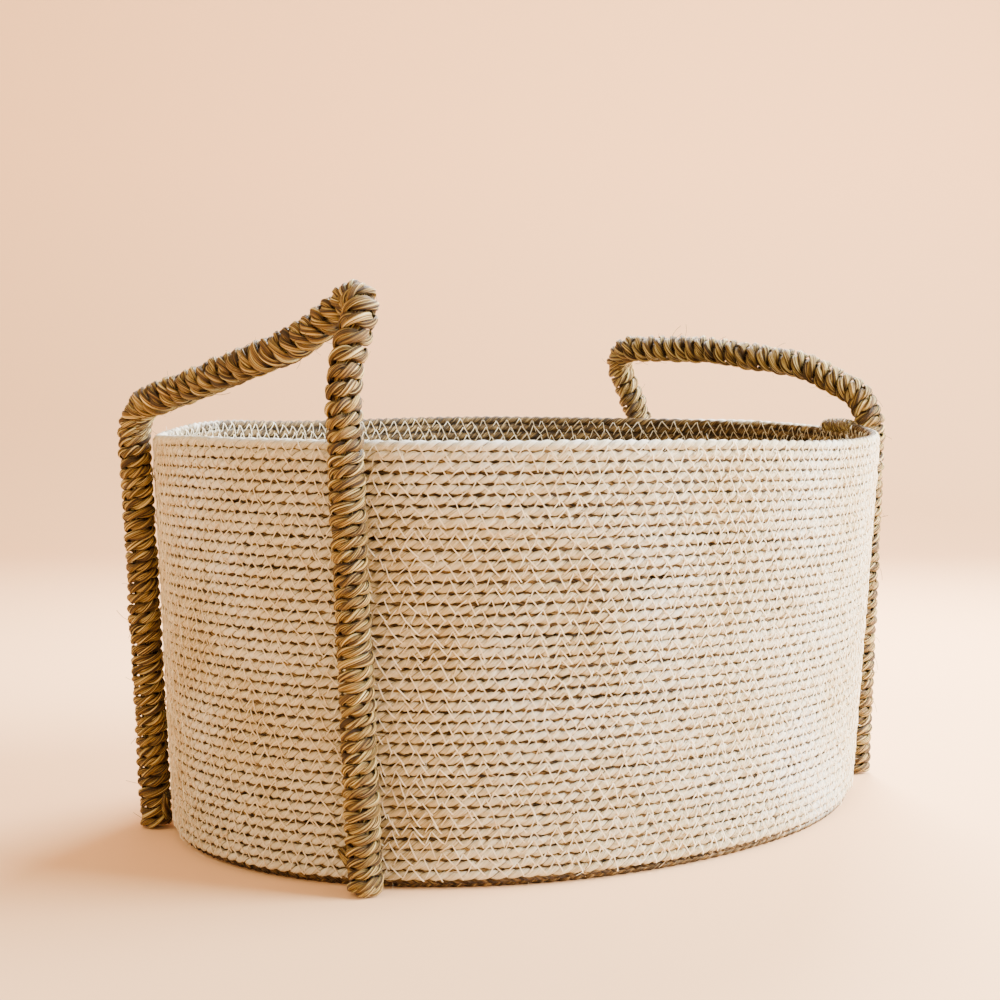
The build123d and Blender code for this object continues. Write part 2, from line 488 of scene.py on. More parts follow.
def grain_of(graph):
    """The blade direction, and the height out of the surface, that a cord's mesh carries."""
    grain = graph.node("ShaderNodeAttribute", out=1, attribute_name="grain")
    crest = graph.node("ShaderNodeAttribute", out=2, attribute_name="crest")
    return grain, crest


def grass_streaks(graph, grain, stops, length, blades, contrast=1.0):
    """Colour that changes along a blade slowly and from blade to blade fast."""
    broad = noise(graph, grain.times((length, blades, blades)), 1.0, 2.0)
    fine = noise(graph, grain.times((length * 2, blades * 4, blades * 4)), 1.0, 3.0, 0.6)
    tone = 0.48 + ((broad - 0.5) * 1.0 + (fine - 0.5) * 0.75) * contrast
    colour = graph.node("ShaderNodeValToRGB", {"Fac": tone}, stops=stops)
    return colour, fine


def add_bump(graph, shader, height, distance, strength=0.8):
    inputs = {"Height": height, "Distance": distance, "Strength": strength}
    bump = graph.node("ShaderNodeBump", inputs)
    plug(graph.tree, shader.inputs["Normal"], bump)


def seams(grain, lobes):
    """1 along the creases between a ply's lobes, 0 on the lobes themselves."""
    y, z = grain.dot((0, 1, 0)), grain.dot((0, 0, 1))
    across = z.abs() if lobes == 2 else (y * z).abs() * 2
    return across.ramp(0.3, 0.0)


def bare_grass(name, stops, lobes, contrast=1.0, length=26.0, blades=1.5, rough=0.48):
    material, graph, shader = new_material(name)
    grain, crest = grain_of(graph)
    colour, fine = grass_streaks(graph, grain, stops, length, blades, contrast)
    olive = noise(graph, grain.times((14.0, 0.8, 0.8)), 1.0, 1.0).ramp(0.5, 0.7)
    colour = mix(graph, olive * 0.5, colour, rgb(0.62, 0.60, 0.30), "MULTIPLY")
    # painted shade: the sides of a cord that face away from the surface, into hollows, underneath and in the
    # creases between its lobes, are mixed towards near black
    painted_shade = crest.ramp(0.6, -0.3) * 0.75 + seams(grain, lobes) * 0.55
    colour = mix(graph, painted_shade, colour, rgb(0.03, 0.015, 0.004))
    plug(graph.tree, shader.inputs["Base Color"], colour)
    plug(graph.tree, shader.inputs["Roughness"], rough + fine * 0.25)
    shader.inputs["Specular IOR Level"].default_value = 0.38
    add_bump(graph, shader, fine, 1.4 * MM, 1.0)
    return material


WINDING_GRASS = [(0.30, (0.03, 0.015, 0.003)), (0.43, (0.14, 0.07, 0.012)),
                 (0.54, (0.38, 0.22, 0.042)), (0.64, (0.74, 0.50, 0.13)), (0.76, (0.95, 0.80, 0.36))]
BROWN_GRASS = [(0.30, (0.022, 0.013, 0.004)), (0.46, (0.085, 0.048, 0.015)),
               (0.58, (0.22, 0.13, 0.042)), (0.74, (0.54, 0.38, 0.15))]
winding_finish = bare_grass("golden seagrass", WINDING_GRASS, 4, 1.45, blades=2.0, rough=0.46)
bare_finish = bare_grass("bare brown seagrass", BROWN_GRASS, 2)
for finish in (winding_finish, bare_finish):
    print(finish.name, "finish:", len(finish.node_tree.nodes), "nodes")

# %% [markdown]
# ## Whitewash
# The outside was brushed with thin white paint after the basket was sewn. The brush only reached
# the crests, so the paint stops where a cord turns away into a groove, and it is thin enough to
# let the grass show through in places. `crest` gives the paint its edge, and noise frays it. The
# paint strays over the rim at both ends of the oval, and it stops just above the floor, where the
# bare foot is darker and also paints the shade there. A painted highlight whitens the top of the
# rim, and painted shade darkens the bare grass in the grooves.

# %% Whitewashed seagrass
def whitewashed_grass():
    material, graph, shader = new_material("whitewashed seagrass")
    grain, crest = grain_of(graph)
    place = graph.node("ShaderNodeTexCoord", out=3)
    grass, fine = grass_streaks(graph, grain, BROWN_GRASS, 30.0, 1.4)
    # how far the brush reached down from the crests, and where the paint has worn out of a crease
    patch = noise(graph, place, 60.0, 4.0, 0.65)
    thin = noise(graph, place, 9.0, 2.0).ramp(0.45, 0.75)
    reach = crest + (patch - 0.5) * 0.7 + (fine - 0.5) * 0.9 - thin * 0.12
    worn = noise(graph, place, 130.0, 2.0).ramp(0.35, 0.6)
    # where it strays over the rim: widely at the left end, a little at the right end
    x, height = place.dot((1, 0, 0)), place.dot((0, 0, 1))
    over = height.ramp(HEIGHT - 14 * MM, HEIGHT - 4 * MM) * x.ramp(0.0, -0.15)
    over = over + height.ramp(HEIGHT - 6 * MM, HEIGHT - 3 * MM) * x.ramp(0.23, 0.25)
    face = crest.ramp(0.02, 0.2) + over * patch.ramp(0.35, 0.5)
    face = face.math("MINIMUM", face, 1.0)
    cover = (reach + over * 1.2).ramp(0.2, 0.55) * (1 - seams(grain, 2) * worn * 0.9) * face
    # the paint fades out over the lowest few millimetres: the foot is bare, and its darker brown also paints
    # the shade at the foot
    cover = cover * height.ramp(2 * MM, 6 * MM)
    # the paint's own colour, with a painted highlight along the top of the rim
    chalk = noise(graph, place, 14.0, 3.0)
    paint = graph.node("ShaderNodeValToRGB", {"Fac": chalk * 0.5 + fine * 0.5}, stops=[
        (0.32, (0.36, 0.25, 0.10)), (0.43, (0.66, 0.54, 0.30)), (0.54, (0.80, 0.74, 0.55)),
        (0.64, (0.91, 0.88, 0.80))])
    # painted highlight: the top of the rim is mixed towards near white, where light catches it
    top = height.ramp(HEIGHT - 3 * MM, HEIGHT - 1 * MM)
    paint = mix(graph, top * patch.ramp(0.38, 0.6) * 0.8, paint, rgb(0.96, 0.95, 0.92))
    # painted shade: the bare grass is mixed darker where the cord turns into a groove, between the crests of
    # its two faces
    grass = mix(graph, crest.abs().ramp(0.75, 0.25) * 0.5, grass, rgb(0.02, 0.011, 0.004))
    colour = mix(graph, cover * 0.95, grass, paint)
    plug(graph.tree, shader.inputs["Base Color"], colour)
    plug(graph.tree, shader.inputs["Roughness"], 0.68 + cover * 0.2)
    shader.inputs["Specular IOR Level"].default_value = 0.3
    add_bump(graph, shader, fine * 0.7 + patch * 0.3, 1.2 * MM, 1.0)
    return material


def thread_finish():
    material, graph, shader = new_material("pale sewing thread")
    place = graph.node("ShaderNodeTexCoord", out=3)
    worn = noise(graph, place, 120.0, 2.0)
    colour = mix(graph, worn.ramp(0.35, 0.65), rgb(0.80, 0.63, 0.38), rgb(0.98, 0.88, 0.66))
    plug(graph.tree, shader.inputs["Base Color"], colour)
    shader.inputs["Roughness"].default_value = 0.7
    add_bump(graph, shader, noise(graph, place, 1800.0, 1.0), 0.1 * MM)
    return material


painted_finish = whitewashed_grass()
sewing_finish = thread_finish()
for finish in (painted_finish, sewing_finish):
    print(finish.name, "finish:", len(finish.node_tree.nodes), "nodes")

# %% [markdown]
# ## The wall's spiral
# One spiral of cord climbs the oval, a course higher each time round. The angle is chosen so that
# the cord's length grows evenly, which keeps the twist the same all the way. A few slow waves
# push it off a perfect oval by less than a millimetre, as hand sewing does, and the courses sag
# or rise by up to 5 mm in four places.

# %% The spiral route
STEP = 2.3 * MM            # distance between the points of a wall route
CORD_LIFT = WALL / 2       # from the wall's outside to the middle of its cord
WHOLE_TURNS = 41
UNDERCUT = 2.4 * MM        # how much further in the lowest course lies than the others
SAGS = [(-1.2, 0.5, -5.0), (1.1, 0.45, 2.0), (2.05, 0.25, 3.0), (2.6, 0.3, -2.5)]  # angle, width, rise
rng = np.random.default_rng(12)


def even_angles():
    """Turn, from 0 to 1, to the ellipse's angle, evenly by length at mid height."""
    a, b = half_axes(HEIGHT / 2)
    angle = np.linspace(0, 2 * math.pi, 2001)
    pace = np.hypot(a * np.sin(angle), b * np.cos(angle))
    length = np.concatenate([[0], np.cumsum((pace[1:] + pace[:-1]) / 2 * np.diff(angle))])
    return length / length[-1], angle, length[-1]


TURN, ANGLE, AROUND = even_angles()
COIL_END = 2 * math.pi - 0.30                  # the angle where the cord ends, at the right
END_TURN = float(np.interp(COIL_END, ANGLE, TURN))
print("once round is", round(AROUND, 3), "m")


def angle_at(turn):
    return np.interp(turn % 1.0, TURN, ANGLE)


def slow_waves(turn, amount, count=7, highest=9):
    """A sum of sines of the turn, about amount high."""
    total = np.zeros_like(turn)
    for _ in range(count):
        rate, start = rng.uniform(0.3, highest), rng.uniform(0, 2 * math.pi)
        total += np.sin(2 * math.pi * rate * turn + start)
    return total * amount / math.sqrt(count)


def on_wall(turn, height, depth):
    """Points, outward directions and upward directions on the oval wall."""
    angle = angle_at(turn)
    axes = half_axes(height, depth[..., None] if np.ndim(depth) else depth)
    a, b = axes[..., 0], axes[..., 1]
    points = np.stack([a * np.cos(angle), b * np.sin(angle), np.broadcast_to(height, turn.shape)], -1)
    out = unit(np.stack([b * np.cos(angle), a * np.sin(angle), np.zeros_like(turn)], -1))
    up = np.zeros_like(out)
    up[..., 2] = 1.0
    return points, out, up

# %% [markdown]
# The lowest turn lies on the floor and runs inwards to meet the base. The last turn levels off, so
# that the rim is flat where the cord ends, and its end tapers.

# %% The wall's route
def wall_spiral():
    """The route from the turn that lies on the floor to the end beside the right front leg."""
    last = WHOLE_TURNS + END_TURN
    first = last - HEIGHT / COURSE + 1 / 2
    turn = np.linspace(first - 1, last, int((last - first + 1) * AROUND / STEP))
    height = COURSE * np.maximum(turn - first, 0) + COURSE / 2
    level = np.interp((turn - last) % 1, (0, 0.05, 0.95, 1), (0.5, 0.05, 0.95, 0.5))
    height *= (HEIGHT - COURSE / 2) / (HEIGHT - COURSE * (1 - level))
    angle = angle_at(turn)
    for place, spread, rise in SAGS:
        apart = (angle - place + math.pi) % (2 * math.pi) - math.pi
        height *= 1 + rise * MM / HEIGHT * np.exp(-(apart / spread) ** 2)
    height += slow_waves(turn, 0.18 * MM, highest=6)
    starting = np.clip(first - turn, 0, 1) ** 0.6
    under = np.clip(1.6 - height / COURSE, 0, 1) ** 2
    depth = CORD_LIFT + starting * COURSE + under * UNDERCUT + slow_waves(turn, 0.22 * MM, highest=5)
    points, out, up = on_wall(turn, height, depth)
    size = 1 + slow_waves(turn, 0.035, highest=30)
    size *= np.clip((last - turn) * AROUND / (40 * MM), 0.3, 1)
    side = unit(np.cross(np.gradient(points, axis=0), out))
    along = (turn - first) * AROUND + slow_waves(turn, 0.005, highest=9)
    return points, out, side, along, size


spiral = wall_spiral()
print("wall cord", round(spiral[3][-1], 2), "m,", len(spiral[0]), "points")

# %% [markdown]
# The sewing squeezes the wall's cord so hard that its two plies look like one ply with two lobes,
# with a left-handed twist. So long a cord is cut into five pieces and the rim's course, to keep each
# mesh light. Neighbours share a point, so their ends meet.

# %% Lay the wall's cord in pieces
WALL_CORD = {"Plies": 1, "Ply_Offset": 0.0, "Ply_Radius": 3.2 * MM, "Sides": 11, "Lobes": 2.0,
             "Lobe_Depth": 0.34, "Lobe_Length": -16.5 * MM, "Flatness": 1.0}
PIECES = 5


def cut(route, low, high):
    return [part[low:high] for part in route]


def lay_cord(name, route, finish, slot, node=None, cuts=(), **sizes):
    """A cord along a route, which stands for a CAD node if one is named."""
    points, out, side, along, size = route
    mesh = line_mesh(name, points, cuts, out=out, side=side, along=along, size=size)
    piece = grow(name, mesh, LAID_CORD, Material=finish, **sizes)
    if node:
        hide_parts(node)
    return piece


per_turn = int(AROUND / STEP)
rim_start = len(spiral[0]) - per_turn
ends = np.linspace(0, rim_start, PIECES + 1).astype(int)
for number in range(PIECES):
    route = cut(spiral, ends[number], ends[number + 1] + 1)
    piece = lay_cord(f"wall_cord_{number + 1}", route, painted_finish, "whitewashed_seagrass",
                     "wall_coil", **WALL_CORD)
    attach(piece, "basket")
piece = lay_cord("rim_cord", cut(spiral, rim_start, None), painted_finish, "whitewashed_seagrass",
                 "rim_coil", **WALL_CORD)
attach(piece, "basket")

# %% [markdown]
# The stitches pull loose blades into the groove between two courses, and close the wall there. A
# thin strand laid half a course below the cord does the same. It starts half a turn in, and at the
# foot it is thicker and lies further in, because the courses there aren't straight above each
# other.

# %% Close the grooves
GROOVE_STRAND = {"Plies": 1, "Ply_Offset": 0.0, "Ply_Radius": 1.7 * MM, "Sides": 5, "Lobe_Depth": 0.0}
STRAND_LOWEST = 3 * MM     # so that the thick part stays above the floor
STRAND_INSET = 1.6 * MM
FOOT = 9 * MM              # how fast both fade with height
points, out, side, along, size = [part[per_turn // 2::3] for part in spiral]
points = points - (0, 0, COURSE / 2)
points[:, 2] = np.maximum(points[:, 2], STRAND_LOWEST)
low = np.exp(-points[:, 2] / FOOT)
points = points - out * low[:, None] * STRAND_INSET
piece = lay_cord("groove_strand", (points, out, side, along, size * (1 + low)), bare_finish,
                 "bare_seagrass", **GROOVE_STRAND)
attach(piece, "basket")

# %% [markdown]
# ## Stitches
# The groove between two courses runs half a course below the cord's own route, so the same spiral
# gives the stitches their line. They are sewn on both faces of the wall.

# %% Sew the wall
HALVES = (("low", 2.25, 22.0), ("high", 22.0, None))   # name, first and last turn of the spiral


def groove(face, first_turn, last_turn):
    """The groove's route on the outside (face 1) or the inside (face -1) of the wall."""
    low = int(first_turn * per_turn)
    high = None if last_turn is None else int(last_turn * per_turn)
    points, out = [part[low:high:3] for part in spiral[:2]]
    crest = 3.0 * MM * face
    up = np.zeros_like(out)
    up[:, 2] = 1
    return points + out * crest - (0, 0, COURSE / 2), out * face, up


for face, where, spacing, thread, seeds in (
        (1, "outer", STITCH, 0.42 * MM, (3, 13)), (-1, "inner", 9.6 * MM, 0.38 * MM, (40, 50))):
    for (half, first_turn, last_turn), seed in zip(HALVES, seeds):
        name = f"{where}_stitches_{half}"
        points, out, up = groove(face, first_turn, last_turn)
        mesh = line_mesh(name, points, out=out, side=up)
        piece = grow(name, mesh, ZIGZAG, Spacing=spacing, Stretch=spacing / STITCH, Thread=thread,
                     Seed=seed, Material=sewing_finish)
        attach(piece, "basket")

# %% [markdown]
# ## The base
# The cord starts as a straight core in the middle of the floor and is sewn round it in ovals that
# grow by one cord's width a turn. It is bare on both faces.

# %% Coil and sew the base
def resample(points, step):
    """Points an even step apart along the line through the given ones, and their lengths."""
    run = np.concatenate([[0], np.cumsum(np.linalg.norm(np.diff(points, axis=0), axis=1))])
    spots = np.linspace(0, run[-1], int(run[-1] / step) + 1)
    return np.stack([np.interp(spots, run, column) for column in points.T], -1), spots


CORE = 1.05                # turns left out in the middle, where the core lies straight
BASE_START = END_TURN - 2 / 3                  # where the outermost turn begins


def base_spiral(step):
    """The base's route from its outermost turn to the core."""
    turns = (BASE_AXES[1] - CORD_LIFT) / COURSE - CORE
    turn = np.arange(0, turns, 1 / 500)
    inset = CORD_LIFT + COURSE * (1 + turn)
    points = on_wall(BASE_START - turn, np.zeros_like(turn), inset)[0]
    points[:, 2] = COURSE / 2
    points, along = resample(points, step)
    out = np.zeros_like(points)
    out[:, 2] = 1
    side = unit(np.cross(np.gradient(points, axis=0), out))
    return points, out, side, along, 1 + 0.05 * np.sin(along * 41) * np.sin(along * 17)


BASE_CORD = dict(WALL_CORD, Ply_Radius=3.05 * MM, Sides=9)
piece = lay_cord("base_cord", base_spiral(4 * MM), bare_finish, "bare_seagrass", "base_coil",
                 **BASE_CORD)
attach(piece, "basket")
for face, name, lift, seed in ((1, "base_stitches_above", 2.9, 80), (-1, "base_stitches_below", -1.9, 90)):
    points, out, side = base_spiral(6 * MM)[:3]
    points = points + side * COURSE / 2 + out * lift * MM
    mesh = line_mesh(name, points, out=out * face, side=side)
    piece = grow(name, mesh, ZIGZAG, Seed=seed, Spacing=13 * MM, Material=sewing_finish)
    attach(piece, "basket")

# %% [markdown]
# ## The handles' middle lines
# A handle's wire runs up one leg, over the arch and down the other leg. The legs' places are
# measured on the CAD legs. The arch between them is a line of corners, each rounded by its own
# radius. The right arch's line is the CAD wire's. The left arch's is within a few millimetres of
# it, with a sharper tall corner and a rounder low corner.

# %% Corners and roundings
RIM = HEIGHT
ARCHES = {  # end (-1 front, 1 back), then from that leg's centre: along, inwards, up from the rim
    "left": [(-1, 1, -1, 32), (-1, 1, 17, 84), (-1, 50, 12.5, 54.5), (1, 3.5, 1, 15.5)],
    "right": [(-1, 8, 4, 21), (-1, 49, 12.5, 41.5), (1, 88, 21.5, 53.5), (1, -6, 26, 55.5)]}
ROUNDINGS = {  # radius at the front leg's top, at each corner of the arch, at the back leg's top
    "left": (10, 80, 10, 160, 19, 8), "right": (10, 13.5, 80, 160, 20, 10)}
SIDES = {"left": -1, "right": 1}


def leg_middle(node, height):
    """The middle of an upright CAD node at its lower or upper end."""
    points = np.array([vertex.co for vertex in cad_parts[node].data.vertices])
    ring = points[abs(points[:, 2] - height) < 0.5 * MM]
    return (ring.min(axis=0) + ring.max(axis=0)) / 2


def rounded(corners, radii, step):
    """The line through the corners, with every inner corner rounded by an arc."""
    points = [corners[0]]
    for before, corner, after, radius in zip(corners, corners[1:], corners[2:], radii):
        back, ahead = unit(before - corner), unit(after - corner)
        half = math.acos(np.dot(back, ahead)) / 2
        sweep = math.pi - 2 * half
        middle = corner + unit(back + ahead) * radius / math.sin(half)
        start = corner + back * radius / math.tan(half) - middle
        finish = corner + ahead * radius / math.tan(half) - middle
        for share in np.linspace(0, 1, 2 + int(sweep * radius / step)):
            weights = math.sin((1 - share) * sweep), math.sin(share * sweep)
            points.append(middle + (start * weights[0] + finish * weights[1]) / math.sin(sweep))
    return resample(np.array([*points, corners[-1]]), step)

# %% [markdown]
# A direction square to the line is then carried along it from foot to foot without twisting, so
# that the winding can turn evenly round the line.

# %% Follow a handle from foot to foot
def handle_line(name):
    """Middle line, lengths, and two directions square to the line, for a whole handle."""
    feet, tops = {}, {}
    for end, where in ((-1, "front"), (1, "back")):
        node = f"{name}_{where}_leg_winding"
        feet[end], tops[end] = leg_middle(node, 0), leg_middle(node, RIM)
    corners = [feet[-1], tops[-1]]
    for end, along, inwards, up in ARCHES[name]:
        corners.append(tops[end] + np.array([-SIDES[name] * inwards, -end * along, up]) * MM)
    corners += [tops[1], feet[1]]
    points, run = rounded(corners, [radius * MM for radius in ROUNDINGS[name]], MM)
    ahead = unit(np.gradient(points, axis=0))
    across = [np.array([SIDES[name], 0.0, 0.0])]
    for direction in ahead:
        across.append(unit(across[-1] - direction * np.dot(across[-1], direction)))
    across = np.array(across[1:])
    return points, run, across, np.cross(ahead, across)


LINES = {name: handle_line(name) for name in SIDES}
print({name: round(line[1][-1], 3) for name, line in LINES.items()}, "m from foot to foot")

# %% [markdown]
# ## Winding a handle
# One two-ply cord is wound from the front foot right over to the back foot. Its turns lie side by
# side, they are squeezed flat against the bundle, and they close up where the handle bends. The
# winding is one route, cut at the rim line into two legs and an arch, so that the cut ends meet.

# %% The winding's route
PITCH = 6.5 * MM           # from one turn of the winding to the next
WOUND_CORD = {"Plies": 2, "Ply_Offset": 1.5 * MM, "Twist_Length": -20 * MM, "Ply_Radius": 2.2 * MM,
              "Sides": 12, "Lobes": 4.0, "Lobe_Depth": 0.24, "Lobe_Length": -30 * MM, "Flatness": 0.74}
WINDING_RADIUS = GRIP - 3.1 * MM
FOOT_ROOM = 4.4 * MM       # from a foot's end to the middle of the first turn
RISE = 30 * MM             # above the rim, the cord gets thicker and looser over this height


def winding(line, step):
    """The cord's route round a handle, and the length along the handle at each of its points."""
    points, run, across, square = line
    low, high = FOOT_ROOM, run[-1] - FOOT_ROOM
    ahead = unit(points[8:] - points[:-8])
    bend = np.linalg.norm(ahead[8:] - ahead[:-8], axis=1) / (run[8] - run[0])
    bend = np.pad(bend, 8)
    on_arch = np.clip((points[:, 2] - RIM) / RISE, 0, 1)
    loose = (1 + slow_waves(run * 12, 0.08)) * (1 + 0.5 * on_arch) / (1 + 0.5 * GRIP * bend)
    turns = np.concatenate([[0], np.cumsum(np.diff(run) / (PITCH * loose[1:]))])
    first, last = np.interp((low, high), run, turns)
    count = int((last - first + 1.5) * 2 * math.pi * WINDING_RADIUS / step)
    turn = np.linspace(first - 0.75, last + 0.75, count)
    spot = np.interp(np.clip(turn, first, last), turns, run)
    middle, x, y = [np.stack([np.interp(spot, run, part[:, i]) for i in range(3)], -1)
                    for part in (points, across, square)]
    angle = (turn * 2 * math.pi)[:, None]
    out = unit(x * np.cos(angle) + y * np.sin(angle))
    radius = WINDING_RADIUS + slow_waves(turn, 0.28 * MM, highest=3)
    place = middle + out * radius[:, None]
    side = unit(np.cross(np.gradient(place, axis=0), out))
    length = np.concatenate([[0], np.cumsum(np.linalg.norm(np.diff(place, axis=0), axis=1))])
    along = length + slow_waves(turn, 0.0035, highest=1.2)
    size = 1 + slow_waves(turn, 0.06, highest=2.5) + 0.32 * np.interp(spot, run, on_arch)
    size *= np.clip(np.minimum(turn - turn[0], turn[-1] - turn) / 0.12, 0.55, 1)
    return (place, out, side, along, size), spot

# %% [markdown]
# The arch bends at the rim, where the soft wire leaves the wall. So its lower ends follow the
# basket, the rest follows the arch, and the bend is spread over the first centimetre and a half.

# %% Wind the handles
BEND_LOW, BEND_HIGH = RIM, RIM + 16 * MM


def bend_with(piece, name):
    """The piece follows the basket up to the rim and the arch above it."""
    x = float(LINES[name][0][0][0])
    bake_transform(piece, "basket", f"{name}_handle_arch", start=(x, 0, BEND_LOW), end=(x, 0, BEND_HIGH))


def carry(piece, name, part):
    """What is on a leg rides on the basket, and what is on an arch bends with it."""
    if part.endswith("leg"):
        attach(piece, "basket")
    else:
        bend_with(piece, name)


def handle_parts(name, spot):
    """The shares of a route, cut where the handle's line crosses the rim."""
    points, run = LINES[name][:2]
    above = run[points[:, 2] > RIM]
    low, high = np.searchsorted(spot, (above[0], above[-1]))
    return ((f"{name}_front_leg", 0, low + 1), (f"{name}_arch", low, high + 1),
            (f"{name}_back_leg", high, None))


for name in SIDES:
    route, spot = winding(LINES[name], 1.7 * MM)
    for part, low, high in handle_parts(name, spot):
        piece = lay_cord(f"{part}_wound_cord", cut(route, low, high), winding_finish,
                         "wound_seagrass", f"{part}_winding", **WOUND_CORD)
        carry(piece, name, part)

# %% [markdown]
# ## Inside the winding
# A bundle of straight grass gives each handle its thickness, and a soft wire in its middle holds
# the arch in the shape that it is bent to. Little of either shows, except at the feet.

# %% Fill the handles
BUNDLE = {"Plies": 7, "Ply_Offset": 3.7 * MM, "Twist_Length": 90 * MM, "Ply_Radius": 2.2 * MM,
          "Sides": 8, "Lobes": 3.0, "Lobe_Depth": 0.2, "Lobe_Length": 60 * MM}
WIRE = {"Plies": 1, "Ply_Offset": 0.0, "Ply_Radius": 2 * MM, "Sides": 12, "Lobe_Depth": 0.0}


def dull_wire():
    material, graph, shader = new_material("soft wire")
    place = graph.node("ShaderNodeTexCoord", out=3)
    shader.inputs["Base Color"].default_value = rgb(0.35, 0.33, 0.31)
    shader.inputs["Metallic"].default_value = 1.0
    plug(graph.tree, shader.inputs["Roughness"], noise(graph, place, 300.0) * 0.3 + 0.3)
    return material


wire_finish = dull_wire()
for name in SIDES:
    points, run, across, square = LINES[name]
    inner = slice(2, -2, 4)
    route = [part[inner] for part in (points, across, square, run, np.ones_like(run))]
    for part, low, high in handle_parts(name, run[inner]):
        piece = lay_cord(f"{part}_grass_bundle", cut(route, low, high), winding_finish,
                         "grass_bundle", f"{part}_bundle", **BUNDLE)
        carry(piece, name, part)
    piece = lay_cord(f"{name}_bent_wire", cut(route, 3, -3), wire_finish, "soft_wire",
                     f"{name}_handle_wire", **WIRE)
    bend_with(piece, name)

# %% [markdown]
# ## Tucked ends and ties
# The winding's two ends come out beside the feet as short tails, where its six bundles of blades
# spread and curl back to the leg.

# %% The tails' routes
def ends_of(node, radius):
    """The two ends of the middle line of a rod-shaped CAD node, the lower one first."""
    points = np.array([vertex.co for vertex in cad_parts[node].data.vertices])
    middle = (points.min(axis=0) + points.max(axis=0)) / 2
    direction = np.linalg.svd(points - points.mean(axis=0), full_matrices=False)[2][0]
    direction *= math.copysign(1, direction[2])
    reach = (points - middle) @ direction
    return middle + direction * (reach.min() + radius), middle + direction * (reach.max() - radius)


TAIL_CORD = dict(WOUND_CORD, Plies=6, Ply_Offset=1.9 * MM, Twist_Length=-75 * MM, Ply_Radius=1.05 * MM,
                 Sides=8, Flatness=0.9)
TAIL_RADIUS = 3 * MM       # of the CAD node
TAIL_PULL = (0.45, 0.45, -0.1)                 # how much nearer to the leg its tip is tucked
TAIL_BULGE = 1.2 * MM


def tail_route(node):
    low, high = ends_of(node, TAIL_RADIUS)
    high = high + (low - high) * TAIL_PULL
    points, along = resample(np.array([low, high]), MM)
    direction = unit(high - low)
    out = unit(np.cross(direction, (0, 0, 1.0)))
    out *= math.copysign(1, np.dot(out, low))
    share = along / along[-1]
    points = points + np.outer(np.sin(share * math.pi) * TAIL_BULGE, out)
    out = np.tile(out, (len(points), 1))
    side = np.cross(np.tile(direction, (len(points), 1)), out)
    return points, out, side, along, np.interp(share, (0, 0.7, 1), (1, 1.2, 1.15))


LEGS = [f"{name}_{where}" for name in SIDES for where in ("front", "back")]
TAILS = {leg: tail_route(f"{leg}_cord_tail") for leg in LEGS}
print("tails:", {leg: round(route[3][-1], 4) for leg, route in TAILS.items()}, "m")

# %% [markdown]
# Ties of thread hold the legs to the wall: each is three loops that pass through the wall and
# round the back of the winding. Their places are read from the rings of the CAD node.

# %% Add the tails and the ties
THREAD = {"Plies": 1, "Ply_Offset": 0.0, "Ply_Radius": 0.42 * MM, "Sides": 5, "Lobe_Depth": 0.0}
TIE_APART = 5 * MM         # a larger step in height than this means the next ring


def tie_loops(node):
    """Three loops of thread for each ring of the CAD node."""
    points = np.array([vertex.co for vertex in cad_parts[node].data.vertices])
    heights = np.sort(points[:, 2])
    groups = np.split(heights, np.flatnonzero(np.diff(heights) > TIE_APART) + 1)
    turn = np.linspace(0, 2 * math.pi, 29)
    lines, cuts = [], []
    for group in groups:
        ring = points[(points[:, 2] >= group[0]) & (points[:, 2] <= group[-1])]
        middle = (ring.min(axis=0) + ring.max(axis=0)) / 2
        flat = ring - middle
        wide = flat[np.argmax(np.hypot(flat[:, 0], flat[:, 1]))] * (1, 1, 0)
        wide, up = unit(wide), np.array([0, 0, 1.0])
        thin = np.cross(wide, up)
        for shift in (-1.1, 0.1, 1.2):
            loop = middle + np.outer(np.cos(turn), wide) * 5.1 * MM
            loop = loop + np.outer(np.sin(turn), up * 4.6 + thin * (1 + rng.uniform(-1, 1))) * MM
            lines.append(loop + thin * shift * MM + up * rng.uniform(-1, 1) * MM)
            cuts.append(len(turn) * len(lines) - 1)
    points = np.concatenate(lines)
    along = np.arange(len(points)) * MM
    ahead = unit(np.gradient(points, axis=0))
    out = unit(np.cross(ahead, (0.3, 0.5, 0.2)))
    return (points, out, np.cross(ahead, out), along, np.ones(len(points))), cuts[:-1]


for leg in LEGS:
    piece = lay_cord(f"{leg}_tail", TAILS[leg], winding_finish, "wound_seagrass", f"{leg}_cord_tail",
                     **TAIL_CORD)
    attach(piece, "basket")
    route, cuts = tie_loops(f"{leg}_lashing")
    piece = lay_cord(f"{leg}_ties", route, sewing_finish, "sewing_thread", f"{leg}_lashing", cuts, **THREAD)
    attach(piece, "basket")

# %% [markdown]
# ## The whipped end of the coil
# The wall's cord ends at the rim beside the right front leg. A finer cord of the winding's grass is
# wound tightly round the rim there, over the tapered end, which leaves a small hump.

# %% Whip the coil's end
TURN_LENGTH = 30 * MM      # cord in one turn of the whipping
HUMP = RIM - 2.6 * MM      # height of its middle
HALF_WIDE, HALF_HIGH = 3.6, 4.4                # of its turns, in millimetres


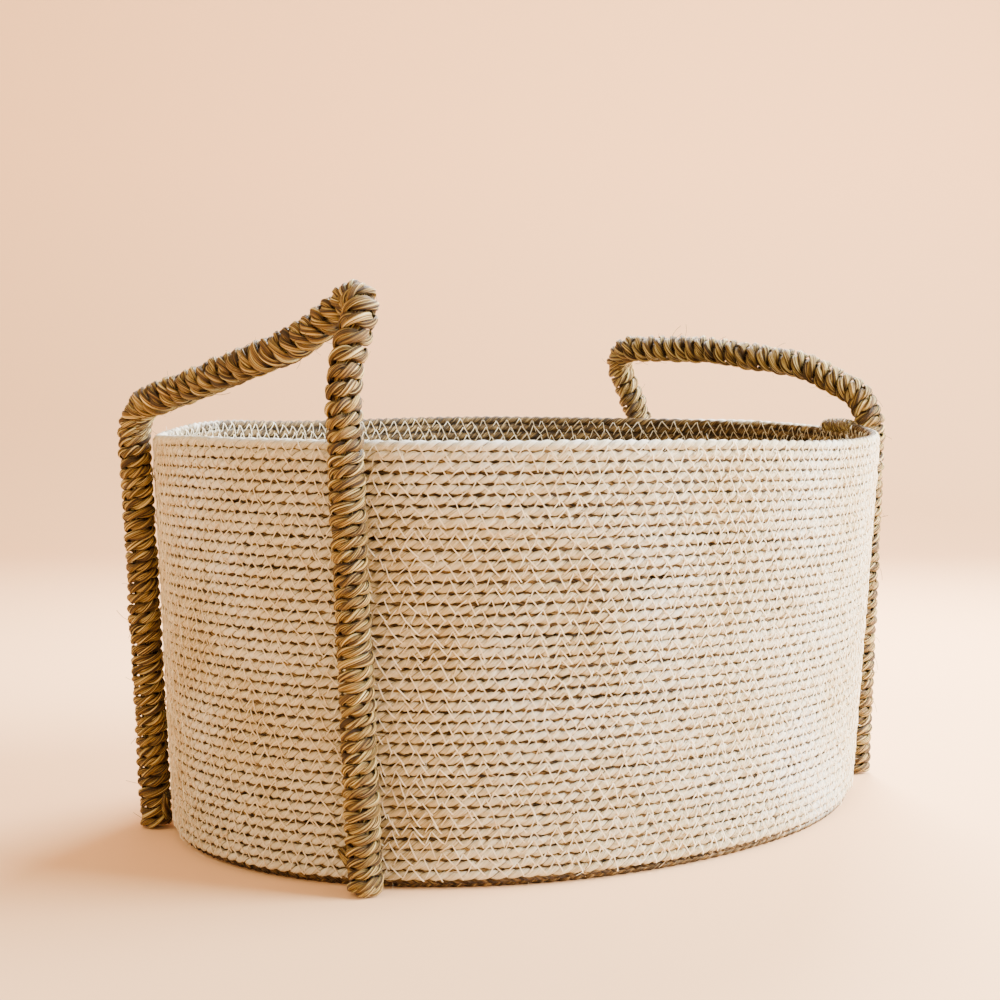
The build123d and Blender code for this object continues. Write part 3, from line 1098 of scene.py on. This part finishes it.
def whipping(step, pitch, start, finish):
    """A helix round the top course, between two distances back from the coil's end."""
    count = int((finish - start) / pitch * TURN_LENGTH / step)
    back = np.linspace(start, finish, count)
    points, out, up = on_wall(END_TURN - back / AROUND, np.full(count, HUMP), np.full(count, CORD_LIFT))
    angle = ((back - start) / pitch * 2 * math.pi)[:, None]
    around = out * np.cos(angle) + up * np.sin(angle)
    swell = 0.78 + 0.3 * np.sin((back - start) / (finish - start) * math.pi) ** 0.7
    turns = out * np.cos(angle) * HALF_WIDE + up * np.sin(angle) * HALF_HIGH
    points = points + turns * MM * swell[:, None]
    side = unit(np.cross(np.gradient(points, axis=0), around))
    along = np.arange(count) * step
    return points, around, side, along, 1 + slow_waves(back * 900, 0.1)


FINE_CORD = {"Plies": 1, "Ply_Offset": 0.0, "Ply_Radius": 1.4 * MM, "Sides": 8, "Lobes": 4.0,
             "Lobe_Depth": 0.25, "Lobe_Length": -14 * MM}
piece = lay_cord("rim_whipping", whipping(MM, 2.6 * MM, 4 * MM, 47 * MM), winding_finish,
                 "wound_seagrass", **FINE_CORD)
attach(piece, "basket")

# %% [markdown]
# ## Stray fibres
# Seagrass frays. Points are scattered on the outer faces of a cord, and each carries one short
# bent fibre that leans at random. A fibre that would reach below the floor is laid flat on it.

# %% Scatter the fibres
def fibre_tree():
    graph, given = new_tree("stray fibres", Density=900.0, Length=9 * MM, Seed=5, Material="")
    node, seed, length = graph.node, given["Seed"], given["Length"]
    crest = graph.attribute("crest")
    outer = crest.math("GREATER_THAN", crest, 0.55)
    inputs = {"Mesh": given["Geometry"], "Selection": outer, "Density": given["Density"], "Seed": seed}
    points = node("GeometryNodeDistributePointsOnFaces", inputs, distribute_method="RANDOM")
    lie = Field(graph.tree, points.socket.node.outputs["Rotation"])
    turn = random_between(graph, (-0.2, -0.3, 0.0), (0.2, 0.1, 6.28), seed + 1)
    turn = node("FunctionNodeEulerToRotation", {"Euler": turn})
    lie = node("FunctionNodeRotateRotation", {"Rotation": lie, "Rotate By": turn}, rotation_space="LOCAL")
    corners = [(0, 0, -0.05), (0.35, 0.03, 0.10), (0.7, -0.03, 0.17), (1, -0.1, 0.19)]
    fibre = strand(graph, corners, 0.016)
    size = random_between(graph, 0.35, 1.3, seed + 2) * length
    inputs = {"Points": points, "Instance": fibre, "Rotation": lie, "Scale": size}
    fibres = node("GeometryNodeInstanceOnPoints", inputs)
    fibres = node("GeometryNodeRealizeInstances", {"Geometry": fibres})
    height = node("GeometryNodeInputPosition").dot((0, 0, 1))
    sunk = height.math("MINIMUM", height, 0.0)
    inputs = {"Geometry": fibres, "Offset": graph.xyz(0.0, 0.0, 0.0 - sunk)}
    fibres = node("GeometryNodeSetPosition", inputs)
    return finish_tree(graph, fibres, given["Material"])


FIBRES = fibre_tree()
print(FIBRES.name, "tree:", len(FIBRES.nodes), "nodes")


def fray(source, name, finish, slot, **sizes):
    """Fibres on a finished piece, which still have to ride where that piece rides."""
    fibres = grow(name, bpy.data.objects[source].data.copy(), FIBRES, Material=finish, **sizes)
    for layer in ("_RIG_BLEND", "crest", "grain"):
        if layer in fibres.data.attributes:
            fibres.data.attributes.remove(fibres.data.attributes[layer])
    return fibres

# %% [markdown]
# The sewn wall has the fewest fibres. The rim, which hands brush past, has many short ones, and
# the windings have the longest.

# %% Fray the cords
for number in range(1, PIECES + 1):
    fibres = fray(f"wall_cord_{number}", f"wall_fibres_{number}", sewing_finish, "whitewashed_seagrass",
                  Density=4000.0, Length=7 * MM, Seed=number)
    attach(fibres, "basket")
fibres = fray("rim_cord", "rim_fibres", sewing_finish, "whitewashed_seagrass", Density=22000.0,
              Length=5 * MM)
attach(fibres, "basket")
for name in SIDES:
    for part in (f"{name}_front_leg", f"{name}_arch", f"{name}_back_leg"):
        fibres = fray(f"{part}_wound_cord", f"{part}_fibres", winding_finish, "wound_seagrass",
                      Density=9000.0, Length=8 * MM)
        carry(fibres, name, part)

# %% [markdown]
# ## Camera
# The camera stands a little above the rim and looks down the oval's corner through a short
# telephoto lens.

# %% Camera
CAMERA_PLACE = (-0.8454, -0.8574, 0.2862)
CAMERA_TURN = 0.763        # from +Y towards +X
CAMERA_DIP = 0.0706
camera = bpy.data.objects.new("camera", bpy.data.cameras.new("camera"))
scene.collection.objects.link(camera)
camera.location = CAMERA_PLACE
camera.rotation_euler = (math.pi / 2 - CAMERA_DIP, 0, -CAMERA_TURN)
camera.data.lens = 64.9
camera.data.sensor_width = 36
scene.camera = camera

# %% [markdown]
# ## Floor
# The floor is a plain pale sheet that curves up behind the basket, so that no horizon line shows.

# %% Floor and backdrop
def backdrop():
    """A floor that sweeps up into a wall behind the basket, away from the camera."""
    ahead = np.array([math.sin(CAMERA_TURN), math.cos(CAMERA_TURN)])
    across = np.array([ahead[1], -ahead[0]])
    near, bend, radius, top, half = -9.0, 1.6, 0.7, 2.6, 9.0
    outline = [(near, 0.0), (bend, 0.0)]
    for count in range(1, 17):
        turn = count / 16 * math.pi / 2
        outline.append((bend + radius * math.sin(turn), radius * (1 - math.cos(turn))))
    outline.append((bend + radius, top))
    verts = [(*(ahead * run + across * wide), rise) for run, rise in outline for wide in (-half, half)]
    faces = [(i, i + 1, i + 3, i + 2) for i in range(0, len(verts) - 2, 2)]
    mesh = bpy.data.meshes.new("floor")
    mesh.from_pydata(verts, [], faces)
    mesh.shade_smooth()
    floor = bpy.data.objects.new("floor", mesh)
    scene.collection.objects.link(floor)
    return floor


floor = backdrop()
material, graph, shader = new_material("pale floor")
shader.inputs["Base Color"].default_value = rgb(1.0, 0.60, 0.31)
shader.inputs["Roughness"].default_value = 0.8
floor.data.materials.append(material)

# %% [markdown]
# ## Light
# A large, cool soft light on the right does most of the work. A weak warm one on the left fills the
# shadows, and a small one from behind draws a bright edge on the handles and the rim. The world
# adds a warm glow from all sides.

# %% Lights
def softbox(name, place, target, size, power, colour):
    light = bpy.data.lights.new(name, "AREA")
    light.shape = "SQUARE"
    light.size = size
    light.energy = power
    light.color = colour
    lamp = bpy.data.objects.new(name, light)
    scene.collection.objects.link(lamp)
    lamp.location = place
    lamp.rotation_euler = (Vector(target) - Vector(place)).to_track_quat("-Z", "Y").to_euler()


softbox("key", (1.25, -1.35, 1.05), (0, 0, 0.15), 1.8, 305, (0.91, 0.96, 1.0))
softbox("fill", (-1.9, 0.2, 1.3), (0, 0, 0.15), 1.8, 26, (1.0, 0.68, 0.34))
softbox("edge", (0.9, 0.5, 1.1), (0.1, 0, 0.25), 0.5, 80, (1.0, 0.98, 0.95))
world = bpy.data.worlds.new("studio")
world.use_nodes = True
world.node_tree.nodes["Background"].inputs["Color"].default_value = rgb(1.0, 0.82, 0.60)
world.node_tree.nodes["Background"].inputs["Strength"].default_value = 0.9
scene.world = world
